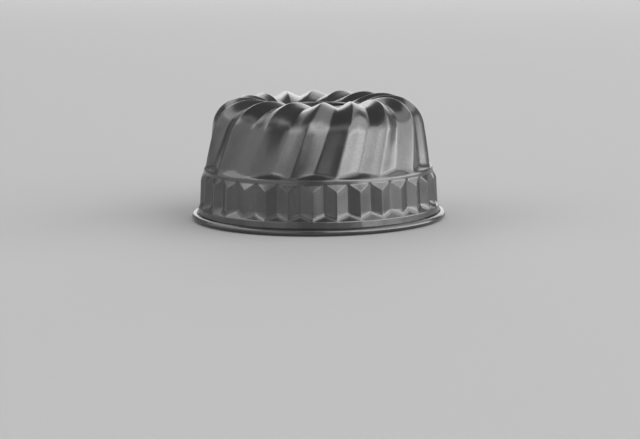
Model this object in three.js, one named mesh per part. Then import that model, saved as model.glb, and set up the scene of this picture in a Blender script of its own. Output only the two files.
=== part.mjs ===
// Kugelhopf mould: a pressed steel shell, a centre tube and the wire in the rolled rim.
// Millimetres, +Z up. The mould stands crown up, with the origin at the centre of the rim's
// underside, and the foot of one flute crest lies at the front, on -Y.

import * as THREE from 'three';

// Sheet, wire and fits
const SHEET = 0.6;
const BEND_RADIUS = 0.6; // inside a sharp bend
const WIRE_DIAMETER = 4.2;
const WIRE_CLEARANCE = 0.3;
const SEAM_CLEARANCE = 0.3;

// Overall size
const RIM_DIAMETER = 220; // over the rolled rim
const HEIGHT = 105.4; // rim underside to the top of the crests

// Rolled rim
const RIM_FLAT = 1.4; // flat ring under the rim, between the wall and the curl
const CURL_GAP = 0.7; // slit between the foot of the wall and the edge of the curl

// Foot strip, facet band and collar
const FOOT_HEIGHT = 11;
const FOOT_LEAN = 1.2;
const BAND_HEIGHT = 30.2;
const BAND_LEAN = 2.3;
const BAND_DEPTH = 2.8; // ridge to valley
const RIDGES_PER_FLUTE = 2;
const RUN_OUT_HEIGHT = 3.8; // valley floors sloping out to the foot strip
const END_FACET_HEIGHT = 5.6; // ridge ends sloping in to the collar
const COLLAR_HEIGHT = 3.7;
const COLLAR_LEAN = 0.3;

// Fluted body and crown
const FLUTES = 16;
const FLUTE_DEPTH = 6; // crest to valley
const LEDGE_RISE = 4.8; // valley floors sloping out to the collar
const WALL_DRAFT = 10.5; // degrees from upright
const SHOULDER_RADIUS = 29.6;
const SWIRL = 19; // degrees between a crest and the straight way up
const CROWN_DROP = 10.2; // crest tops down to the flat land round the tube
const CROWN_FOOT_ANGLE = 42; // degrees between the land and the crests' inner ends
const LAND_WIDTH = 9;

// Centre tube and its seam to the shell
const TUBE_TOP_DIAMETER = 51;
const TUBE_END_DIAMETER = 38;
const TUBE_END_HEIGHT = 6; // free end above the rim's underside
const TUBE_NECK = 3; // straight stretch below the land
const SEAM_OVERLAP = 0.9; // how far the tube's fold reaches down the shell's turned-up edge
const HEM_LENGTH = 3; // turned-in edge at the free end

// Fineness of the surfaces
const COLUMNS_PER_FLUTE = 4;
const TUBE_COLUMNS = 48;
const WIRE_SIDES = 10;
const CURL_STEPS = 4; // over the bead, and as many under it
const BEND_STEPS = 2;
const FOLD_STEPS = 5;
const LEDGE_STEPS = 2;
const WALL_STEPS = 3;
const SHOULDER_STEPS = 6;
const CROWN_STEPS = 5;

// Where bends and folds start and end, in degrees anticlockwise from the outward direction
const OUTER_SIDE = 0;
const TOP_SIDE = 90;
const INNER_SIDE = 180;
const UNDERSIDE = -90;

const radians = THREE.MathUtils.degToRad;
const columns = FLUTES * COLUMNS_PER_FLUTE;

// Outline of the shell's outer face along a crest, as (radius, height)
const curlRadius = WIRE_DIAMETER / 2 + WIRE_CLEARANCE;
const beadRadius = curlRadius + SHEET;
const curlCentre = new THREE.Vector2(RIM_DIAMETER / 2 - beadRadius, beadRadius);
const curlEnd = THREE.MathUtils.radToDeg(Math.acos((CURL_GAP - RIM_FLAT - BEND_RADIUS) / beadRadius));
const footBendCentre = new THREE.Vector2(curlCentre.x - RIM_FLAT, SHEET + BEND_RADIUS);
const bandFoot = new THREE.Vector2(footBendCentre.x - BEND_RADIUS - FOOT_LEAN, FOOT_HEIGHT);
const bandTop = new THREE.Vector2(bandFoot.x - BAND_LEAN, FOOT_HEIGHT + BAND_HEIGHT);
const collarFoot = new THREE.Vector2(bandTop.x - BAND_DEPTH, bandTop.y);
const ledge = new THREE.Vector2(collarFoot.x - COLLAR_LEAN, collarFoot.y + COLLAR_HEIGHT);

const draft = radians(WALL_DRAFT);
const shoulderStartHeight = HEIGHT - SHOULDER_RADIUS * (1 - Math.sin(draft));
const shoulderStart = new THREE.Vector2(
  ledge.x - (shoulderStartHeight - ledge.y) * Math.tan(draft),
  shoulderStartHeight,
);
const shoulderCentre = new THREE.Vector2(
  shoulderStart.x - SHOULDER_RADIUS * Math.cos(draft),
  HEIGHT - SHOULDER_RADIUS,
);

const landHeight = HEIGHT - CROWN_DROP;
const upstandInside = TUBE_TOP_DIAMETER / 2 + SEAM_CLEARANCE;
const upstandOutside = upstandInside + SHEET;
const holeBendCentre = new THREE.Vector2(upstandOutside + BEND_RADIUS, landHeight + BEND_RADIUS);
const seamHemEnd = holeBendCentre.y + SEAM_CLEARANCE;
const upstandTop = new THREE.Vector2(upstandOutside, seamHemEnd + SEAM_OVERLAP);
const crownTop = new THREE.Vector2(shoulderCentre.x, HEIGHT);
const crownFoot = new THREE.Vector2(holeBendCentre.x + LAND_WIDTH, landHeight);
const crownSlope = CROWN_DROP / Math.tan(radians(CROWN_FOOT_ANGLE));
const crownBend = new THREE.Vector2(crownFoot.x + crownSlope, HEIGHT);

/** An arc between two angles in degrees, clockwise where it runs to a smaller angle. */
function arc(centre, radius, from, to) {
  return new THREE.EllipseCurve(centre.x, centre.y, radius, radius, radians(from), radians(to), to < from);
}

/** Even steps along a curve, from 0 or from the first step, up to 1. */
function stepsTo(count, first = 0) {
  return Array.from({ length: count + 1 - first }, (_, step) => (step + first) / count);
}

/** A wave with straight flanks: 0 on a crest, 1 in the valley half way to the next. */
function vee(share) {
  return 1 - Math.abs(1 - 2 * (share - Math.floor(share)));
}

/** How deep the sheet is pressed across one flute, where valley floors have reached a share of it. */
function pressing(depth, reached = 1, waves = 1) {
  return (share) => depth * Math.min(vee(waves * share), reached);
}

const unpressed = () => 0;

/** Rows of the shell from the edge of the curl, up the wall and over the crown, to the hole. */
function shellRows() {
  const rows = [];
  let turn = 0;

  const addRow = (curve, at, press = unpressed) => {
    const point = curve.getPoint(at);
    const along = curve.getTangent(at);
    rows.push({ point, inward: new THREE.Vector2(-along.y, along.x), press, turn });
  };

  const addSwirledRow = (curve, at, press) => {
    const before = rows.at(-1).point;
    const point = curve.getPoint(at);
    turn += (Math.tan(radians(SWIRL)) * point.distanceTo(before) * 2) / (point.x + before.x);
    addRow(curve, at, press);
  };

  const curlOver = arc(curlCentre, curlRadius, curlEnd, OUTER_SIDE);
  const curlUnder = arc(curlCentre, curlRadius, OUTER_SIDE, UNDERSIDE);
  const footBend = arc(footBendCentre, BEND_RADIUS, UNDERSIDE, -INNER_SIDE);
  stepsTo(CURL_STEPS).forEach((at) => addRow(curlOver, at));
  stepsTo(CURL_STEPS, 1).forEach((at) => addRow(curlUnder, at));
  stepsTo(BEND_STEPS).forEach((at) => addRow(footBend, at));

  const band = new THREE.LineCurve(bandFoot, bandTop);
  for (const rise of [0, RUN_OUT_HEIGHT, BAND_HEIGHT - END_FACET_HEIGHT]) {
    addRow(band, rise / BAND_HEIGHT, pressing(BAND_DEPTH, rise / RUN_OUT_HEIGHT, RIDGES_PER_FLUTE));
  }
  const collar = new THREE.LineCurve(collarFoot, ledge);
  addRow(collar, 0);
  addRow(collar, 1);

  const ledgeTop = ledge.clone().lerp(shoulderStart, LEDGE_RISE / (shoulderStart.y - ledge.y));
  const ledgeRise = new THREE.LineCurve(ledge, ledgeTop);
  const wall = new THREE.LineCurve(ledgeTop, shoulderStart);
  const shoulder = arc(shoulderCentre, SHOULDER_RADIUS, WALL_DRAFT, TOP_SIDE);
  const crown = new THREE.QuadraticBezierCurve(crownTop, crownBend, crownFoot);
  const fluted = pressing(FLUTE_DEPTH);
  stepsTo(LEDGE_STEPS, 1).forEach((at) => addSwirledRow(ledgeRise, at, pressing(FLUTE_DEPTH, at)));
  stepsTo(WALL_STEPS, 1).forEach((at) => addSwirledRow(wall, at, fluted));
  stepsTo(SHOULDER_STEPS, 1).forEach((at) => addSwirledRow(shoulder, at, fluted));
  stepsTo(CROWN_STEPS, 1).forEach((at) => addSwirledRow(crown, at, pressing(FLUTE_DEPTH * (1 - at * at))));

  const holeBend = arc(holeBendCentre, BEND_RADIUS, UNDERSIDE, -INNER_SIDE);
  const upstand = new THREE.LineCurve(holeBend.getPoint(1), upstandTop);
  stepsTo(BEND_STEPS).forEach((at) => addRow(holeBend, at));
  addRow(upstand, 1);
  return rows;
}

/** The outer face through the rows. Each patch folds from its higher foot to its deeper head. */
function pressedFace(rows) {
  const positions = [];
  const depths = [];
  for (const { point, inward, press, turn } of rows) {
    for (let column = 0; column < columns; column += 1) {
      const depth = press(column / COLUMNS_PER_FLUTE);
      const radius = point.x + inward.x * depth;
      const angle = turn + (2 * Math.PI * column) / columns;
      positions.push(radius * Math.sin(angle), -radius * Math.cos(angle), point.y + inward.y * depth);
      depths.push(depth);
    }
  }
  const triangles = [];
  for (let row = 0; row < rows.length - 1; row += 1) {
    for (let column = 0; column < columns; column += 1) {
      const left = row * columns + column;
      const right = row * columns + ((column + 1) % columns);
      const upLeft = left + columns;
      const upRight = right + columns;
      if (depths[right] - depths[left] + depths[upRight] - depths[upLeft] >= 0) {
        triangles.push(left, right, upRight, left, upRight, upLeft);
      } else {
        triangles.push(left, right, upLeft, right, upRight, upLeft);
      }
    }
  }
  const face = new THREE.BufferGeometry();
  face.setAttribute('position', new THREE.Float32BufferAttribute(positions, 3));
  face.setIndex(triangles);
  face.computeVertexNormals();
  return face;
}

/** A sheet of one thickness behind an outer face, closed along its first and last rows. */
function sheetBehind(face) {
  const outer = face.getAttribute('position');
  const normals = face.getAttribute('normal');
  const positions = [...outer.array];
  for (let i = 0; i < outer.array.length; i += 1) {
    positions.push(outer.array[i] - SHEET * normals.array[i]);
  }
  const triangles = [...face.index.array];
  for (let i = 0; i < face.index.count; i += 3) {
    const [a, b, c] = face.index.array.slice(i, i + 3);
    triangles.push(a + outer.count, c + outer.count, b + outer.count);
  }
  const lastRow = outer.count - columns;
  for (let column = 0; column < columns; column += 1) {
    const next = (column + 1) % columns;
    for (const [from, to] of [[next, column], [lastRow + column, lastRow + next]]) {
      triangles.push(from, to, to + outer.count);
      triangles.push(from, to + outer.count, from + outer.count);
    }
  }
  const sheet = new THREE.BufferGeometry();
  sheet.setAttribute('position', new THREE.Float32BufferAttribute(positions, 3));
  sheet.setIndex(triangles);
  sheet.computeVertexNormals();
  return sheet;
}

/** A closed loop one sheet thick round a middle line. */
function sheetLoop(middle) {
  const right = [];
  const left = [];
  middle.forEach((point, i) => {
    const before = middle[Math.max(i - 1, 0)];
    const after = middle[Math.min(i + 1, middle.length - 1)];
    const along = after.clone().sub(before).setLength(SHEET / 2);
    right.push(new THREE.Vector2(point.x + along.y, point.y - along.x));
    left.unshift(new THREE.Vector2(point.x - along.y, point.y + along.x));
  });
  return [...right, ...left, right[0].clone()];
}

/** The centre tube, folded over the shell's upstand at the top and turned in at its free end. */
function tubeGeometry() {
  const foldRadius = SHEET + SEAM_CLEARANCE;
  const endRadius = (TUBE_END_DIAMETER - SHEET) / 2;
  const topRadius = (TUBE_TOP_DIAMETER - SHEET) / 2;
  const endFold = new THREE.Vector2(endRadius - foldRadius, TUBE_END_HEIGHT + SHEET / 2 + foldRadius);
  const seamFold = new THREE.Vector2(upstandInside + SHEET / 2, upstandTop.y);
  const middle = [
    new THREE.Vector2(endFold.x - foldRadius, endFold.y + HEM_LENGTH),
    ...arc(endFold, foldRadius, -INNER_SIDE, OUTER_SIDE).getPoints(FOLD_STEPS),
    new THREE.Vector2(endRadius, endFold.y + HEM_LENGTH),
    new THREE.Vector2(topRadius, landHeight - TUBE_NECK),
    ...arc(seamFold, foldRadius, INNER_SIDE, OUTER_SIDE).getPoints(FOLD_STEPS),
    new THREE.Vector2(seamFold.x + foldRadius, seamHemEnd),
  ];
  return new THREE.LatheGeometry(sheetLoop(middle), TUBE_COLUMNS).rotateX(Math.PI / 2);
}

/** The ring of wire inside the curl. */
function wireGeometry() {
  const ring = new THREE.TorusGeometry(curlCentre.x, WIRE_DIAMETER / 2, WIRE_SIDES, columns);
  return ring.translate(0, 0, curlCentre.y);
}

function coatedSteel() {
  return new THREE.MeshStandardMaterial({ color: 0x4b4c4e, roughness: 0.45, metalness: 0.35 });
}

function bareSteel() {
  return new THREE.MeshStandardMaterial({ color: 0xa3a5a8, roughness: 0.35, metalness: 1 });
}

function piece(name, geometry, material) {
  const mesh = new THREE.Mesh(geometry, material);
  mesh.name = name;
  return mesh;
}

const mould = new THREE.Group();
mould.add(piece('mould_shell', sheetBehind(pressedFace(shellRows())), coatedSteel()));
mould.add(piece('chimney_tube', tubeGeometry(), coatedSteel()));
mould.add(piece('rim_wire', wireGeometry(), bareSteel()));

export default mould;
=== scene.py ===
# %% [markdown]
# # A kugelhopf mould in coated sheet steel
#
# The mould is made of three pieces: a pressed shell, a tapered centre tube folded over the edge of
# the shell's hole, and a ring of wire that the rim is rolled around. It stands crown up.
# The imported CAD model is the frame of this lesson. It gives every piece its place and its size.
# Blender makes what the eye sees: bends with real radii, the coating, and the light that shows them.

# %% Load the frame
import math

import bpy
import numpy as np
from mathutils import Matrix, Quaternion, Vector


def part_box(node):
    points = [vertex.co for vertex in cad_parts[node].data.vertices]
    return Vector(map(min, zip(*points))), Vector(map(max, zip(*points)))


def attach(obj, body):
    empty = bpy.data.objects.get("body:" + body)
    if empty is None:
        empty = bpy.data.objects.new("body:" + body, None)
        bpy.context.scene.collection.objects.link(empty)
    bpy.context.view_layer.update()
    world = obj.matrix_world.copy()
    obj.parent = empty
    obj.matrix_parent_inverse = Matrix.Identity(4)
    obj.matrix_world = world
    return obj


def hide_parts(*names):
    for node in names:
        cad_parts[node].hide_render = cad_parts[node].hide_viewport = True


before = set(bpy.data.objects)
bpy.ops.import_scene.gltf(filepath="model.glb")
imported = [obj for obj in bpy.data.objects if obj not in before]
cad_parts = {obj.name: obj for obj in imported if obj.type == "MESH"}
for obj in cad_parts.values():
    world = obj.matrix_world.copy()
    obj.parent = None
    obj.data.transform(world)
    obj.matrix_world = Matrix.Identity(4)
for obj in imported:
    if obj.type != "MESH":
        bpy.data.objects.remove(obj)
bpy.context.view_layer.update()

print("nodes in the frame:", sorted(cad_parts))

# %% [markdown]
# ## Sizes
#
# Blender works in metres here, so MM turns a size in millimetres into metres.
# The overall sizes are read from the CAD boxes, so the dressed mould can't drift from the frame.
# The other sizes are the mould's own driving dimensions, written once where they are first used.

# %% Sizes that the frame gives
MM = 0.001
shell_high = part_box("mould_shell")[1]
tube_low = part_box("chimney_tube")[0]
rim_radius = shell_high.x
mould_height = shell_high.z
tube_end_height = tube_low.z
print("rim diameter", round(2 * rim_radius, 4), "m, height", round(mould_height, 4), "m")

# %% [markdown]
# ## Columns that gather at the bends
#
# A pressed flute is two flat flanks that meet in a tight bend on the crest and a soft one in the valley.
# An even grid would need very many faces to show a bend of a few millimetres.
# Instead the columns gather near each bend and leave the flat flanks wide open.
# A flute has a bend at each quarter: its crest, its valley, and between them two grooves of the band.

# %% Columns round the mould
FLUTES = 16
BENDS_PER_FLUTE = 4
SPOTS_BESIDE_A_BEND = (0.0, 0.035, 0.11, 0.3)  # shares of the way to the next bend


def column_shares():
    """Where the columns lie across one flute, from 0 on its crest to 1 on the next crest."""
    before_next = [1 - spot for spot in SPOTS_BESIDE_A_BEND[:0:-1]]
    spots = [*SPOTS_BESIDE_A_BEND, *before_next]
    return np.array([(bend + spot) / BENDS_PER_FLUTE for bend in range(BENDS_PER_FLUTE) for spot in spots])


one_flute = column_shares()
flute_share = np.tile(one_flute, FLUTES)
column_angles = 2 * math.pi * (np.repeat(np.arange(FLUTES), len(one_flute)) + flute_share) / FLUTES
print(len(one_flute), "columns on a flute,", len(column_angles), "round the mould")

# %% [markdown]
# ## Bends as formulas
#
# A press leaves no knife edges. Three small formulas give every bend on this mould.
# `rounded_vee` is the section of a flute, with one radius on the crest and another in the valley.
# `soft_min` and `soft_max` join two surfaces where they cross, with a fillet instead of a corner.
# Modelling the fillets in the mesh, and not as bump, keeps them in the outline and in the light.

# %% Formulas for bends and fillets
def vee(share):
    """A wave with straight flanks: 0 on a crest, 1 in the valley half way to the next crest."""
    return 1 - np.abs(1 - 2 * (share - np.floor(share)))


def rounded_vee(share, pitch, depth, crest_radius, valley_radius):
    """How deep a flute is pressed at a share of its pitch, with both of its bends rounded."""
    half = pitch / 2
    from_crest = half * vee(share)
    slope = depth / half
    crest_bend = slope * crest_radius
    valley_bend = slope * valley_radius
    down = np.hypot(np.minimum(from_crest, half / 2), crest_bend) - crest_bend
    up = np.hypot(half / 2, valley_bend) - np.hypot(np.minimum(half - from_crest, half / 2), valley_bend)
    whole = np.hypot(half / 2, crest_bend) - crest_bend + np.hypot(half / 2, valley_bend) - valley_bend
    return depth * (down + up) / whole


def soft_min(first, second, blend):
    """The smaller of two values, rounded where they are nearer to each other than the blend."""
    near = np.maximum(blend - np.abs(first - second), 0) / blend
    return np.minimum(first, second) - near * near * blend / 4


def soft_max(first, second, blend):
    """The larger of two values, rounded in the same way."""
    return -soft_min(-first, -second, blend)


print("the wave on a crest, on a flank and in a valley:", vee(np.array([0, 1 / 4, 1 / 2])))

# %% [markdown]
# ## The rolled rim
#
# The lower edge of the sheet turns out, runs flat for a moment and is rolled round a wire.
# A torus would look alike from far off, but it would have no slit behind the roll and no open edge.
# So the sheet itself is followed, as points of radius and height, from the edge of the curl to the wall.
# The line is the sheet's outer face, which lies on the inside of the curl.

# %% Rim outline
SHEET = 0.6 * MM
BEND_RADIUS = 0.6 * MM  # inside a sharp bend
WIRE_DIAMETER = 4.2 * MM
WIRE_CLEARANCE = 0.3 * MM
RIM_FLAT = 1.4 * MM
CURL_GAP = 0.7 * MM
CURL_STEPS = 7
BEND_STEPS = 4
OUTER_SIDE, TOP_SIDE, INNER_SIDE, UNDERSIDE = 0, 90, 180, -90  # degrees from the outward direction


def arc(centre, radius, start, end, steps):
    """Points of radius and height along an arc, between two angles in degrees."""
    angles = np.radians(np.linspace(start, end, steps + 1))
    return np.array(centre) + radius * np.stack([np.cos(angles), np.sin(angles)], axis=1)


curl_radius = WIRE_DIAMETER / 2 + WIRE_CLEARANCE
bead_radius = curl_radius + SHEET
curl_centre = (rim_radius - bead_radius, bead_radius)
curl_end = math.degrees(math.acos((CURL_GAP - RIM_FLAT - BEND_RADIUS) / bead_radius))
foot_bend_centre = (curl_centre[0] - RIM_FLAT, SHEET + BEND_RADIUS)
rim_outline = np.vstack([
    arc(curl_centre, curl_radius, curl_end, OUTER_SIDE, CURL_STEPS),
    arc(curl_centre, curl_radius, OUTER_SIDE, UNDERSIDE, CURL_STEPS)[1:],
    arc(foot_bend_centre, BEND_RADIUS, UNDERSIDE, -INNER_SIDE, BEND_STEPS),
])
print("rim outline of", len(rim_outline), "points, bead", round(2 * bead_radius / MM, 2), "mm thick")

# %% [markdown]
# ## The facet band
#
# Above a plain foot strip, the wall is pressed into 32 upright ridges with V-shaped valleys.
# At the foot the valleys run out on a slope, and at the top each ridge ends in a slanting facet.
# Each of these surfaces is a simple formula of height, and the fillets come from joining them softly.
# The rows of the mesh bend along the creases between the surfaces, so that edges of the mesh run close
# to each crease, on both sides of it. That gives crisp facets with few faces.

# %% Sizes of the foot strip, the band and the collar
FOOT_HEIGHT = 11 * MM
FOOT_LEAN = 0.7 * MM
FOOT_STEP = 0.9 * MM  # the ridges stand this far inside the edge of the foot strip
BAND_HEIGHT = 30.2 * MM
BAND_LEAN = 2.4 * MM
BAND_DEPTH = 3.0 * MM
RIDGES_PER_FLUTE = 2
RIDGE_RADIUS = 1.5 * MM
GROOVE_RADIUS = 3.5 * MM
RUN_OUT_HEIGHT = 4.6 * MM
END_FACET_HEIGHT = 6.0 * MM
COLLAR_HEIGHT = 3.7 * MM
COLLAR_LEAN = 0.3 * MM
COLLAR_INSET = 2.6 * MM  # from the ridges in to the collar, a little less than the depth of the grooves
GROOVE_END_SLOPE = 1.2  # of the short slope on which a groove ends below the collar
EDGE_BLEND = 0.35 * MM
RUN_OUT_BLEND = 2.4 * MM

foot_top_radius = foot_bend_centre[0] - BEND_RADIUS - FOOT_LEAN
band_top_height = FOOT_HEIGHT + BAND_HEIGHT
ridge_top_radius = foot_top_radius - BAND_LEAN
collar_radius = ridge_top_radius - COLLAR_INSET
ledge_height = band_top_height + COLLAR_HEIGHT
print("foot strip to", round(foot_top_radius / MM, 2), "mm, collar at", round(collar_radius / MM, 2), "mm")


# %% The band as a formula
def band_radius(height, share):
    """Radius of the wall between the foot strip and the collar, at a height and a share of a flute."""
    foot_slope = FOOT_LEAN / (FOOT_HEIGHT - foot_bend_centre[1])
    ridge_lean = (BAND_LEAN - FOOT_STEP) / BAND_HEIGHT
    run_out_slope = (BAND_DEPTH + FOOT_STEP) / RUN_OUT_HEIGHT + ridge_lean
    facet_slope = BAND_DEPTH / END_FACET_HEIGHT + ridge_lean
    above_foot = height - FOOT_HEIGHT
    below_top = band_top_height - height
    foot = foot_top_radius - foot_slope * above_foot
    run_out = foot_top_radius - run_out_slope * above_foot
    ridge = ridge_top_radius + ridge_lean * below_top
    pitch = 2 * math.pi * ridge / (FLUTES * RIDGES_PER_FLUTE)
    groove = rounded_vee(RIDGES_PER_FLUTE * share, pitch, BAND_DEPTH, RIDGE_RADIUS, GROOVE_RADIUS)
    facet = ridge_top_radius - BAND_DEPTH + facet_slope * below_top
    collar = collar_radius + COLLAR_LEAN / COLLAR_HEIGHT * below_top
    groove_end = collar - GROOVE_END_SLOPE * below_top
    lower = soft_max(ridge - groove, soft_min(foot, run_out, EDGE_BLEND), RUN_OUT_BLEND)
    lower = soft_max(lower, groove_end, EDGE_BLEND)
    return soft_min(lower, soft_max(facet, collar, EDGE_BLEND), EDGE_BLEND)


# %% Rows of the band
LEAST_STEP = 0.06 * MM
BESIDE_EDGE = (-0.6 * MM, -0.2 * MM, 0.2 * MM, 0.6 * MM)
BESIDE_RUN_OUT = (-2.2 * MM, -0.8 * MM, 0.6 * MM, 2 * MM)
BAND_LEVELS = (18 * MM, 26 * MM, 33 * MM)


def in_order(levels):
    """Levels up the wall, each kept a little above the one before it where they would cross."""
    ordered = [np.broadcast_to(levels[0], flute_share.shape)]
    for level in levels[1:]:
        ordered.append(np.maximum(level, ordered[-1] + LEAST_STEP))
    return np.array(ordered)


def band_levels():
    """Heights of the band's rows at every column, bent along the two creases that slant."""
    ridge_to_groove = vee(RIDGES_PER_FLUTE * flute_share)
    deep = (BAND_DEPTH * ridge_to_groove + FOOT_STEP) / (BAND_DEPTH + FOOT_STEP)
    run_out_crease = FOOT_HEIGHT + RUN_OUT_HEIGHT * deep
    facet_crease = band_top_height - END_FACET_HEIGHT * (1 - ridge_to_groove)
    collar_crease = band_top_height - (BAND_DEPTH - COLLAR_INSET)
    around_foot_edge = [FOOT_HEIGHT + step for step in BESIDE_EDGE]
    around_run_out = [run_out_crease + step for step in BESIDE_RUN_OUT]
    around_facet = [facet_crease + step for step in BESIDE_EDGE]
    around_collar = [collar_crease + step for step in BESIDE_EDGE]
    return in_order([*around_foot_edge, *around_run_out, *BAND_LEVELS, *around_facet, *around_collar])


band_heights = band_levels()
band_radii = band_radius(band_heights, flute_share)
band_span = [round(float(edge) / MM, 2) for edge in (band_radii.min(), band_radii.max())]
print(len(band_heights), "rows on the band, with radii in mm from and to", band_span)

# %% [markdown]
# ## The swirled flutes
#
# Over the band stand 16 flutes that lean to one side, climb the wall, cross the shoulder and run down
# to a flat land round the tube. At their foot the valleys end on slanting ledges.
# The crest line is drawn once, as a line of radius and height. Each point of the sheet is then pressed
# in, square to that line, by the section of the flute. The swirl is a turn that grows along the line.
# A twisted Array of one flute would work as well, but a formula leaves no seams between copies.

# %% The crest line
FLUTE_DEPTH = 5.4 * MM  # on the shoulder
FLUTE_FOOT_DEPTH = 3.6 * MM  # at the ledge
CREST_RADIUS = 3 * MM  # at the ledge, and less where the flutes grow narrow
VALLEY_RADIUS = 16 * MM
BEND_TAPER = 3.5  # the power of the flute's width that the two radii follow
WALL_DRAFT = 10.5  # degrees from upright
SHOULDER_RADIUS = 29.6 * MM
SWIRL = 19  # degrees between a crest and the straight way up
CROWN_DROP = 10.2 * MM
CROWN_FOOT_ANGLE = 42  # degrees
LAND_WIDTH = 9 * MM
TUBE_TOP_DIAMETER = 51 * MM
SEAM_CLEARANCE = 0.3 * MM
LINE_STEPS = 120  # on each stretch of the crest line

ledge = np.array([collar_radius - COLLAR_LEAN, ledge_height])
draft = math.radians(WALL_DRAFT)
shoulder_start_height = mould_height - SHOULDER_RADIUS * (1 - math.sin(draft))
wall_top = np.array([
    ledge[0] - (shoulder_start_height - ledge_height) * math.tan(draft),
    shoulder_start_height,
])
shoulder_centre = wall_top[0] - SHOULDER_RADIUS * math.cos(draft), mould_height - SHOULDER_RADIUS
land_height = mould_height - CROWN_DROP
upstand_radius = TUBE_TOP_DIAMETER / 2 + SEAM_CLEARANCE + SHEET
hole_bend_centre = (upstand_radius + BEND_RADIUS, land_height + BEND_RADIUS)
crown_foot = np.array([hole_bend_centre[0] + LAND_WIDTH, land_height])
crown_bend = crown_foot + CROWN_DROP * np.array([1 / math.tan(math.radians(CROWN_FOOT_ANGLE)), 1])
print("radius and height where the shoulder starts:", np.round(wall_top / MM, 2), "mm")
print("radius and height where the crown ends:", np.round(crown_foot / MM, 2), "mm")

# %% Follow the crest line
along_crown = np.linspace(0, 1, LINE_STEPS + 1)[:, None]
collar_line = np.linspace(ledge + (COLLAR_LEAN, -COLLAR_HEIGHT), ledge, LINE_STEPS)
wall_line = np.linspace(ledge, wall_top, LINE_STEPS)
shoulder_line = arc(shoulder_centre, SHOULDER_RADIUS, WALL_DRAFT, TOP_SIDE, LINE_STEPS)
crown_line = (
    (1 - along_crown) ** 2 * shoulder_line[-1]
    + 2 * along_crown * (1 - along_crown) * crown_bend
    + along_crown**2 * crown_foot
)
crest_line = np.vstack([collar_line[:-1], wall_line[:-1], shoulder_line[:-1], crown_line])
steps = np.hypot(*np.diff(crest_line, axis=0).T)
way = np.concatenate([[0], np.cumsum(steps)])
way -= way[len(collar_line) - 1]  # so that the way up a flute starts at the ledge
shoulder_way = way[len(collar_line) + len(wall_line) - 2]
crown_way = way[-len(crown_line)]
heading = np.gradient(crest_line, way, axis=0)
heading /= np.linalg.norm(heading, axis=1, keepdims=True)
turning = np.where(way > 0, math.tan(math.radians(SWIRL)) / crest_line[:, 0], 0)
crest_turn = np.concatenate([[0], np.cumsum((turning[1:] + turning[:-1]) / 2 * steps)])
depth_left = np.concatenate([np.ones(len(way) - len(crown_line)), 1 - along_crown[:, 0] ** 2])
print("a crest is", round(way[-1] / MM, 1), "mm long")
print("it turns", round(math.degrees(crest_turn[-1]), 1), "degrees round the axis")

# %% Rows of the flutes
LEDGE_RISE = 3.7 * MM
LEDGE_STEP = 0.9 * MM  # the crests stand this far inside the edge of the collar
LEDGE_STEP_FADE = 7 * MM
LEDGE_BLEND = 3.4 * MM  # the fillet between a ledge and its flute
LEDGE_EDGE_BLEND = 1.5 * MM
LAND_BLEND = 1.2 * MM  # the fillet between the crown and the flat land
BESIDE_LEDGE_EDGE = (-1, -0.35, 0.35, 1)  # shares of the reach of a blend
WALL_ROWS, SHOULDER_ROWS, CROWN_ROWS = 5, 16, 18
ledge_slope = (FLUTE_FOOT_DEPTH + LEDGE_STEP) / LEDGE_RISE


def flute_depth(up, share):
    """How deep the sheet is pressed, a way up from the ledge and at a share of a flute."""
    radius = np.interp(up, way, crest_line[:, 0])
    deepest = np.interp(up, (0, shoulder_way), (FLUTE_FOOT_DEPTH, FLUTE_DEPTH))
    depth = deepest * np.interp(up, way, depth_left)
    pitch = 2 * math.pi * radius / FLUTES
    taper = (radius / ledge[0]) ** BEND_TAPER
    least_depth = np.maximum(depth, LEAST_STEP)
    return rounded_vee(share, pitch, least_depth, taper * CREST_RADIUS, taper * VALLEY_RADIUS)


def flute_ways():
    """The way up to each row at every column, bent along the crease above the slanting ledges."""
    depth = flute_depth(np.full_like(flute_share, LEDGE_RISE), flute_share)
    crease = (depth + LEDGE_STEP) / ledge_slope
    edge_reach = LEDGE_EDGE_BLEND / ledge_slope
    fillet_reach = LEDGE_BLEND / ledge_slope
    around_edge = [-COLLAR_HEIGHT / 2, *(step * edge_reach for step in BESIDE_LEDGE_EDGE)]
    around_crease = [crease + step * fillet_reach for step in BESIDE_LEDGE_EDGE]
    wall = np.linspace(around_crease[-1], shoulder_way, WALL_ROWS + 1)[1:]
    shoulder = np.linspace(shoulder_way, crown_way, SHOULDER_ROWS + 1)[1:]
    crown = np.linspace(crown_way, way[-1], CROWN_ROWS + 1)[1:]
    return in_order([*around_edge, *around_crease, *wall, *shoulder, *crown])


def along_crest(values):
    """Values along the crest line, read at the way up of every point."""
    return np.interp(flute_up, way, values)


flute_up = flute_ways()
step_left = LEDGE_STEP * np.exp(-np.maximum(flute_up, 0) / LEDGE_STEP_FADE)
above_ledge = soft_min(flute_depth(flute_up, flute_share) + step_left, ledge_slope * flute_up, LEDGE_BLEND)
pressed = soft_max(above_ledge, np.zeros_like(flute_up), LEDGE_EDGE_BLEND)
flute_radii = along_crest(crest_line[:, 0]) - pressed * along_crest(heading[:, 1])
flute_heights = along_crest(crest_line[:, 1]) + pressed * along_crest(heading[:, 0])
above_land = soft_max(flute_heights, land_height, LAND_BLEND)
flute_heights = np.where(flute_up > crown_way, above_land, flute_heights)
flute_turns = along_crest(crest_turn)
print(len(flute_up), "rows of flutes, pressed up to", round(pressed.max() / MM, 2), "mm")

# %% [markdown]
# ## The hole for the tube
#
# The crests run out on a flat land. Its inner edge is turned up into a short collar for the tube's seam.
# These rows are plain rings, so each is one point of radius and height that every column shares.
# The slope of the crown is run on below the land, so that `soft_max` can lay the same fillet on both sides.

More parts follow.
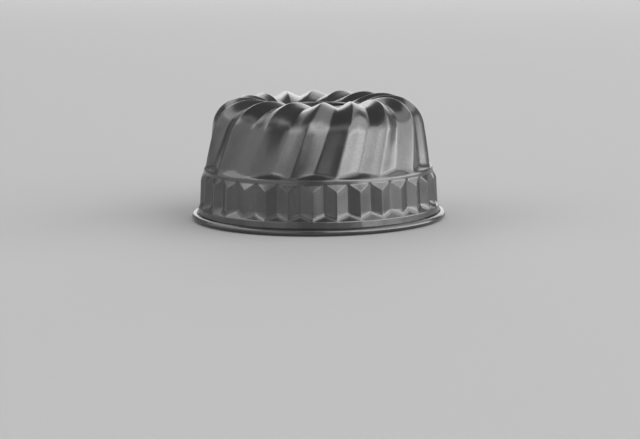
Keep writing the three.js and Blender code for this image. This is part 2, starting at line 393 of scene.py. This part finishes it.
# %% Land and upstand
LAND_WAYS = np.array([0.4, 0.9, 1.6, 4.0, 6.5]) * MM  # from the foot of the crown to each row
SEAM_OVERLAP = 0.9 * MM
seam_hem_end = hole_bend_centre[1] + SEAM_CLEARANCE
upstand_top = seam_hem_end + SEAM_OVERLAP
hole_bend = arc(hole_bend_centre, BEND_RADIUS, UNDERSIDE, -INNER_SIDE, BEND_STEPS)
crown_run_on = land_height - LAND_WAYS * math.tan(math.radians(CROWN_FOOT_ANGLE))
land_heights = soft_max(crown_run_on, land_height, LAND_BLEND)
land = np.stack([crown_foot[0] - LAND_WAYS, land_heights], axis=1)
hole_outline = np.vstack([land, hole_bend, [(upstand_radius, upstand_top)]])
print("land of", LAND_WIDTH / MM, "mm, turned up to", round(upstand_top / MM, 2), "mm")

# %% [markdown]
# ## From rows to a sheet
#
# The rows are stacked into a grid of four-sided faces, which is the sheet's outer face.
# A Solidify modifier gives it the thickness of the steel and closes the two edges. Building the inside
# by hand would double the code and could let the thickness wander.
# A Weighted Normal modifier then lets the large flat flanks decide the shading, so that the narrow
# bends between them carry all the turn of the light, as they do on pressed steel.

# %% Stack the rows
def grid_object(name, radii, heights, angles, closed=False):
    """A mesh object through rows of points, given by radius, height and angle round the axis."""
    points = np.stack([radii * np.sin(angles), -radii * np.cos(angles), heights], axis=-1)
    row_count, column_count = radii.shape
    rows = np.arange(row_count if closed else row_count - 1)[:, None]
    here = np.arange(column_count)[None, :]
    beside = (here + 1) % column_count
    above = (rows + 1) % row_count
    corners = [rows * column_count + here, rows * column_count + beside,
               above * column_count + beside, above * column_count + here]
    faces = np.stack(corners, axis=-1).reshape(-1, 4)
    mesh = bpy.data.meshes.new(name)
    mesh.from_pydata(points.reshape(-1, 3).tolist(), [], faces.tolist())
    mesh.shade_smooth()
    made = bpy.data.objects.new(name, mesh)
    bpy.context.scene.collection.objects.link(made)
    return made


def sheet_metal(made, offset):
    """Gives an open face the thickness of the sheet, and shading that follows its flat faces."""
    thickness = made.modifiers.new("Sheet thickness", "SOLIDIFY")
    thickness.thickness = SHEET
    thickness.offset = offset
    thickness.use_even_offset = True
    made.modifiers.new("Flat faces lead", "WEIGHTED_NORMAL").keep_sharp = False


def rings(outline, columns):
    """Radii and heights of plain rings, one row for each point of an outline."""
    shape = (len(outline), columns)
    return np.broadcast_to(outline[:, :1], shape), np.broadcast_to(outline[:, 1:], shape)


# %% The pressed shell
BEHIND = -1  # the thickness lies behind the face
columns = len(column_angles)
rim_radii, rim_heights = rings(rim_outline, columns)
hole_radii, hole_heights = rings(hole_outline, columns)
shell_radii = np.vstack([rim_radii, band_radii, flute_radii, hole_radii])
shell_heights = np.vstack([rim_heights, band_heights, flute_heights, hole_heights])
shell_turns = np.vstack([
    np.zeros_like(rim_radii),
    np.zeros_like(band_radii),
    flute_turns,
    np.full_like(hole_radii, crest_turn[-1]),
])
pressed_shell = grid_object("pressed_shell", shell_radii, shell_heights, column_angles + shell_turns)
sheet_metal(pressed_shell, BEHIND)
print("shell face of", len(pressed_shell.data.polygons), "faces in", len(shell_radii), "rows")

# %% [markdown]
# ## The centre tube
#
# The tube is a separate cone of sheet, open at both ends. Its upper edge is folded over the shell's
# upstand, which locks the two together, and its free end is turned in so that it doesn't cut.
# It is followed along the middle of its sheet, from the turned-in edge to the end of the fold.

# %% Tube outline and sheet
TUBE_END_DIAMETER = 38 * MM
TUBE_NECK = 3 * MM
HEM_LENGTH = 3 * MM
TUBE_COLUMNS = 144
FOLD_STEPS = 12
CONE_STEPS = 12
ON_BOTH_SIDES = 0  # half of the thickness lies on each side of the face

fold_radius = SHEET + SEAM_CLEARANCE
tube_end_radius = (TUBE_END_DIAMETER - SHEET) / 2
tube_top_radius = (TUBE_TOP_DIAMETER - SHEET) / 2
end_fold_centre = np.array([tube_end_radius - fold_radius, tube_end_height + SHEET / 2 + fold_radius])
seam_fold_centre = np.array([upstand_radius - SHEET / 2, upstand_top])
hem_top = end_fold_centre[1] + HEM_LENGTH
tube_outline = np.vstack([
    [(end_fold_centre[0] - fold_radius, hem_top)],
    arc(end_fold_centre, fold_radius, -INNER_SIDE, OUTER_SIDE, FOLD_STEPS),
    np.linspace((tube_end_radius, hem_top), (tube_top_radius, land_height - TUBE_NECK), CONE_STEPS + 1),
    arc(seam_fold_centre, fold_radius, INNER_SIDE, OUTER_SIDE, FOLD_STEPS),
    [(seam_fold_centre[0] + fold_radius, seam_hem_end)],
])
tube_angles = np.linspace(0, 2 * math.pi, TUBE_COLUMNS, endpoint=False)
folded_tube = grid_object("folded_tube", *rings(tube_outline, TUBE_COLUMNS), tube_angles)
sheet_metal(folded_tube, ON_BOTH_SIDES)
print("tube face of", len(folded_tube.data.polygons), "faces")

# %% [markdown]
# ## The rim wire
#
# The rim gets its stiffness from a ring of drawn wire. It is almost hidden: only a thin line of it can be
# seen, through the slit behind the roll.
# A grid that closes on itself in both directions makes the ring.

# %% Wire ring
WIRE_SIDES = 20
WIRE_COLUMNS = 240
WHOLE_TURN = 360  # degrees, anticlockwise, so that the faces look outwards
wire_outline = arc(curl_centre, WIRE_DIAMETER / 2, OUTER_SIDE, WHOLE_TURN, WIRE_SIDES)[:-1]
wire_angles = np.linspace(0, 2 * math.pi, WIRE_COLUMNS, endpoint=False)
drawn_wire = grid_object("drawn_wire", *rings(wire_outline, WIRE_COLUMNS), wire_angles, closed=True)
print("wire ring of", len(drawn_wire.data.polygons), "faces")

# %% [markdown]
# ## Nodes for both finishes
#
# A material is a tree of nodes, and each helper here adds a few nodes and returns the socket they end in.
# The textures read object coordinates, so no UV map is needed and no picture is loaded.
# `spread` is the one to know: a noise stays near a half, so its middle is stretched over a useful range.

# %% Helpers for node trees
NOISE_MIDDLE = (0.3, 0.7)  # where most of a noise texture's values lie


def new_finish(name, metallic):
    """A new material, its node tree and its surface node."""
    material = bpy.data.materials.new(name)
    material.use_nodes = True
    surface = material.node_tree.nodes["Principled BSDF"]
    surface.inputs["Metallic"].default_value = metallic
    return material, material.node_tree, surface


def noise(tree, place, scale, detail):
    """A noise texture of a scale per metre, read at a place."""
    texture = tree.nodes.new("ShaderNodeTexNoise")
    texture.inputs["Scale"].default_value = scale
    texture.inputs["Detail"].default_value = detail
    tree.links.new(place, texture.inputs["Vector"])
    return texture.outputs["Fac"]


def spread(tree, value, given, wanted):
    """Stretches one range of a value over another range, and holds it within its ends."""
    ranged = tree.nodes.new("ShaderNodeMapRange")
    for socket, number in zip(("From Min", "From Max", "To Min", "To Max"), (*given, *wanted)):
        ranged.inputs[socket].default_value = number
    tree.links.new(value, ranged.inputs["Value"])
    return ranged.outputs["Result"]


def product(tree, first, *others):
    """Multiplies values with each other."""
    result = first
    for other in others:
        multiplied = tree.nodes.new("ShaderNodeMath")
        multiplied.operation = "MULTIPLY"
        tree.links.new(result, multiplied.inputs[0])
        tree.links.new(other, multiplied.inputs[1])
        result = multiplied.outputs["Value"]
    return result


def shaded(tree, colour, amount):
    """A colour made lighter or darker by an amount around 1."""
    scaled = tree.nodes.new("ShaderNodeVectorMath")
    scaled.operation = "SCALE"
    scaled.inputs[0].default_value = colour
    tree.links.new(amount, scaled.inputs["Scale"])
    return scaled.outputs["Vector"]


print("node helpers ready, noise is stretched from", NOISE_MIDDLE)

# %% [markdown]
# ## The coating
#
# The steel has a baked, dark grey non-stick coating: satin, with a metallic sheen and a fine skin like
# orange peel. One flat grey would look like plastic, because a sprayed coat is never quite even.
# Noise at two scales shades the colour: soft clouds from the spray, and a fine grain. The clouds shade
# the gloss too. A finer noise drives a Bump node for the skin.
# The Pointiness of the Geometry node tells sharp edges from hollows. Sharp edges are a little lighter:
# partly wear where hands and racks rub the coat, partly a painted highlight. The bottoms of grooves are a
# little darker, which is painted shade. The folded edge of the tube gets a stronger painted highlight.

# %% Satin coating
CLOUD_SCALE, CLOUD_DETAIL = 45, 5  # scales are per metre
GRAIN_SCALE, GRAIN_DETAIL = 700, 2
PEEL_SCALE, PEEL_DETAIL = 1300, 2
PEEL_DEPTH = 0.02 * MM
PEEL_STRENGTH = 0.4
CLOUD_SHADES = (0.92, 1.08)
GRAIN_SHADES = (0.92, 1.08)
# painted shade: hollows and groove bottoms are darkened in the colour
HOLLOW_TO_FLAT, HOLLOW_PAINTED_SHADE = (0.42, 0.485), (0.75, 1.0)
SHELL_GREY, SHELL_METALLIC, SHELL_ROUGHNESS = (0.119, 0.119, 0.12), 0.9, (0.2, 0.28)
# sharp edges of the shell are lighter: rubbed wear and a painted highlight
SHELL_EDGE_WEAR_AND_HIGHLIGHT = (0.52, 0.6), (1.0, 1.35)  # a range of Pointiness, and the shades that it gives
TUBE_GREY, TUBE_METALLIC, TUBE_ROUGHNESS = (0.112, 0.112, 0.113), 0.8, (0.26, 0.34)
TUBE_FOLD_HIGHLIGHT = (0.51, 0.535), (1.0, 3.0)  # a painted highlight on the fold


def coated_steel(name, grey, metallic, roughness, edge):
    """Satin coating with clouds and grain in its colour, clouds in its gloss, edges lighter from wear and
    painted highlight, painted shade in hollows, and a skin.
    """
    material, tree, surface = new_finish(name, metallic)
    place = tree.nodes.new("ShaderNodeTexCoord").outputs["Object"]
    bend = tree.nodes.new("ShaderNodeNewGeometry").outputs["Pointiness"]
    clouds = noise(tree, place, CLOUD_SCALE, CLOUD_DETAIL)
    grain = noise(tree, place, GRAIN_SCALE, GRAIN_DETAIL)
    shades = product(
        tree,
        spread(tree, clouds, NOISE_MIDDLE, CLOUD_SHADES),
        spread(tree, grain, NOISE_MIDDLE, GRAIN_SHADES),
        # sharp edges lighter: wear and a painted highlight on the shell, a painted highlight alone on the
        # tube's fold
        spread(tree, bend, *edge),
        # hollows darker: painted shade
        spread(tree, bend, HOLLOW_TO_FLAT, HOLLOW_PAINTED_SHADE),
    )
    tree.links.new(shaded(tree, grey, shades), surface.inputs["Base Color"])
    tree.links.new(spread(tree, clouds, NOISE_MIDDLE, roughness), surface.inputs["Roughness"])
    skin = tree.nodes.new("ShaderNodeBump")
    skin.inputs["Strength"].default_value = PEEL_STRENGTH
    skin.inputs["Distance"].default_value = PEEL_DEPTH
    tree.links.new(noise(tree, place, PEEL_SCALE, PEEL_DETAIL), skin.inputs["Height"])
    tree.links.new(skin.outputs["Normal"], surface.inputs["Normal"])
    return material


shell_coating = coated_steel("satin_coating", SHELL_GREY, SHELL_METALLIC, SHELL_ROUGHNESS, SHELL_EDGE_WEAR_AND_HIGHLIGHT)
tube_coating = coated_steel("tube_coating", TUBE_GREY, TUBE_METALLIC, TUBE_ROUGHNESS, TUBE_FOLD_HIGHLIGHT)
print("coatings:", shell_coating.name, tube_coating.name)

# %% [markdown]
# ## The drawn wire
#
# Wire is pulled through a die, which leaves fine lines along it. The noise is read by radius and height
# alone, so it doesn't change along the ring, and its streaks follow the wire.

# %% Drawn steel
STREAK_SCALE, STREAK_DETAIL = 2500, 3
WIRE_GREY = (0.56, 0.57, 0.58)
WIRE_ROUGHNESS = (0.28, 0.42)
STREAK_SHADES = (0.85, 1.1)
BARE_METAL = 1.0


def along_the_ring(tree):
    """A place made of radius and height, the same all the way round the axis."""
    parts = tree.nodes.new("ShaderNodeSeparateXYZ")
    flat = tree.nodes.new("ShaderNodeCombineXYZ")
    radius = tree.nodes.new("ShaderNodeVectorMath")
    radius.operation = "LENGTH"
    ring = tree.nodes.new("ShaderNodeCombineXYZ")
    tree.links.new(tree.nodes.new("ShaderNodeTexCoord").outputs["Object"], parts.inputs["Vector"])
    tree.links.new(parts.outputs["X"], flat.inputs["X"])
    tree.links.new(parts.outputs["Y"], flat.inputs["Y"])
    tree.links.new(flat.outputs["Vector"], radius.inputs[0])
    tree.links.new(radius.outputs["Value"], ring.inputs["X"])
    tree.links.new(parts.outputs["Z"], ring.inputs["Z"])
    return ring.outputs["Vector"]


def drawn_steel(name):
    """Bare steel with fine lines round the mould's axis."""
    material, tree, surface = new_finish(name, BARE_METAL)
    streaks = noise(tree, along_the_ring(tree), STREAK_SCALE, STREAK_DETAIL)
    shades = spread(tree, streaks, NOISE_MIDDLE, STREAK_SHADES)
    tree.links.new(shaded(tree, WIRE_GREY, shades), surface.inputs["Base Color"])
    tree.links.new(spread(tree, streaks, NOISE_MIDDLE, WIRE_ROUGHNESS), surface.inputs["Roughness"])
    return material


wire_steel = drawn_steel("drawn_wire_steel")
print("wire finish:", wire_steel.name)

# %% [markdown]
# ## Pieces on the frame
#
# Each piece stands for one CAD node and gets its own finish.
# The mould has no joints, so every piece rides on the one body, root.

# %% Put the pieces on the frame
BODY = "root"


def put_on_frame(made, node, material):
    """Lets a piece stand for a CAD node and its material."""
    made.data.materials.append(material)
    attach(made, BODY)
    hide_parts(node)


put_on_frame(pressed_shell, "mould_shell", shell_coating)
put_on_frame(folded_tube, "chimney_tube", tube_coating)
put_on_frame(drawn_wire, "rim_wire", wire_steel)

# %% [markdown]
# ## Floor
#
# A plain pale floor carries the mould and its shadow. It reaches far past the frame, so that every view
# has the same ground.

# %% Floor
FLOOR_HALF = 12.0
FLOOR_COLOUR = (0.5, 0.5, 0.5, 1)
FLOOR_ROUGHNESS = 0.9
floor_mesh = bpy.data.meshes.new("floor")
floor_corners = [(-FLOOR_HALF, -FLOOR_HALF, 0), (FLOOR_HALF, -FLOOR_HALF, 0),
                 (FLOOR_HALF, FLOOR_HALF, 0), (-FLOOR_HALF, FLOOR_HALF, 0)]
floor_mesh.from_pydata(floor_corners, [], [(0, 1, 2, 3)])
floor = bpy.data.objects.new("floor", floor_mesh)
bpy.context.scene.collection.objects.link(floor)
floor_paint = bpy.data.materials.new("floor_paint")
floor_paint.use_nodes = True
floor_surface = floor_paint.node_tree.nodes["Principled BSDF"]
floor_surface.inputs["Base Color"].default_value = FLOOR_COLOUR
floor_surface.inputs["Roughness"].default_value = FLOOR_ROUGHNESS
floor_mesh.materials.append(floor_paint)
print("floor of", 2 * FLOOR_HALF, "m")

# %% [markdown]
# ## Light
#
# Satin metal shows its shape by what it reflects, so the lamps are large and soft like studio boxes.
# Bright boxes on the right, brightest near the floor, light the faces that turn right. One dim, even box
# on the left keeps those that turn left darker. A box high at the back left shows the ledges and the
# run-outs, and a dim one high in front shows the slanting facets of the band. A low box behind draws
# light lines on the crown.
# The ceiling and the low front stay dark, which leaves the faces that look there dark.
# Each box is given by the directions that it covers, seen from the mould, and by its brightness.
# Brightness is what a mirror would show, so the power follows from the area.

# %% Lamps and world
WORLD_GREY = 0.22
LAMP_DISTANCE = 10.0
LAMP_AIM = Vector((0, 0, mould_height / 2))
LAMPS = {  # azimuth, elevation, width and height in degrees, and brightness
    "right_low_box": (71, 6, 82, 12, 4.5),
    "right_box": (68, 26, 88, 28, 2.2),
    "right_front_box": (14, 28, 28, 42, 1.75),
    "right_upper_box": (86, 53, 100, 22, 1.1),
    "left_box": (-78, 19, 100, 38, 0.72),
    "left_upper_box": (-126, 40, 92, 20, 1.5),
    "front_upper_box": (-35, 50, 80, 16, 0.62),
    "back_box": (165, 17, 48, 32, 1.5),
}


def direction(azimuth, elevation):
    """A direction away from the mould, with azimuth 0 in front and 90 on the right."""
    turn, rise = math.radians(azimuth), math.radians(elevation)
    return Vector((math.sin(turn) * math.cos(rise), -math.cos(turn) * math.cos(rise), math.sin(rise)))


def soft_box(name, azimuth, elevation, width, height, brightness):
    """A rectangular lamp that covers a width and a height in degrees, seen from the mould."""
    light = bpy.data.lights.new(name, "AREA")
    light.shape = "RECTANGLE"
    light.size = 2 * LAMP_DISTANCE * math.tan(math.radians(width / 2))
    light.size_y = 2 * LAMP_DISTANCE * math.tan(math.radians(height / 2))
    light.energy = brightness * math.pi * light.size * light.size_y
    lamp = bpy.data.objects.new(name, light)
    lamp.location = LAMP_DISTANCE * direction(azimuth, elevation)
    lamp.rotation_euler = (LAMP_AIM - lamp.location).to_track_quat("-Z", "Y").to_euler()
    bpy.context.scene.collection.objects.link(lamp)


for lamp_name, setting in LAMPS.items():
    soft_box(lamp_name, *setting)
room = bpy.data.worlds.new("room")
room.use_nodes = True
room.node_tree.nodes["Background"].inputs["Color"].default_value = (WORLD_GREY, WORLD_GREY, WORLD_GREY, 1)
bpy.context.scene.world = room

# %% [markdown]
# ## Camera
#
# The camera stands where the photograph was taken from: low, a little to the left of the front crest,
# and far enough back for a long lens. It aims below the mould, which therefore sits high in the frame,
# and it is rolled by about half a degree, as the photograph is.

# %% Camera
CAMERA_AZIMUTH = math.radians(-8.38)
CAMERA_DISTANCE = 1562.5 * MM  # in plan
CAMERA_HEIGHT = 240 * MM
AIM_RIGHT, AIM_HEIGHT = 1.1 * MM, -2.7 * MM  # from the mould's axis and its foot
CAMERA_ROLL = math.radians(-0.6)
LENS = 102  # millimetres, on a 36 mm sensor

camera_data = bpy.data.cameras.new("camera")
camera_data.lens = LENS
camera = bpy.data.objects.new("camera", camera_data)
to_right = Vector((math.cos(CAMERA_AZIMUTH), math.sin(CAMERA_AZIMUTH), 0))
to_front = Vector((math.sin(CAMERA_AZIMUTH), -math.cos(CAMERA_AZIMUTH), 0))
camera.location = to_front * CAMERA_DISTANCE + Vector((0, 0, CAMERA_HEIGHT))
aim = to_right * AIM_RIGHT + Vector((0, 0, AIM_HEIGHT))
camera.rotation_mode = "QUATERNION"
level = (aim - camera.location).to_track_quat("-Z", "Y")
camera.rotation_quaternion = level @ Quaternion((0, 0, 1), CAMERA_ROLL)
bpy.context.scene.collection.objects.link(camera)
bpy.context.scene.camera = camera
bpy.context.scene.view_settings.view_transform = "Standard"
print("camera at", [round(value, 3) for value in camera.location])
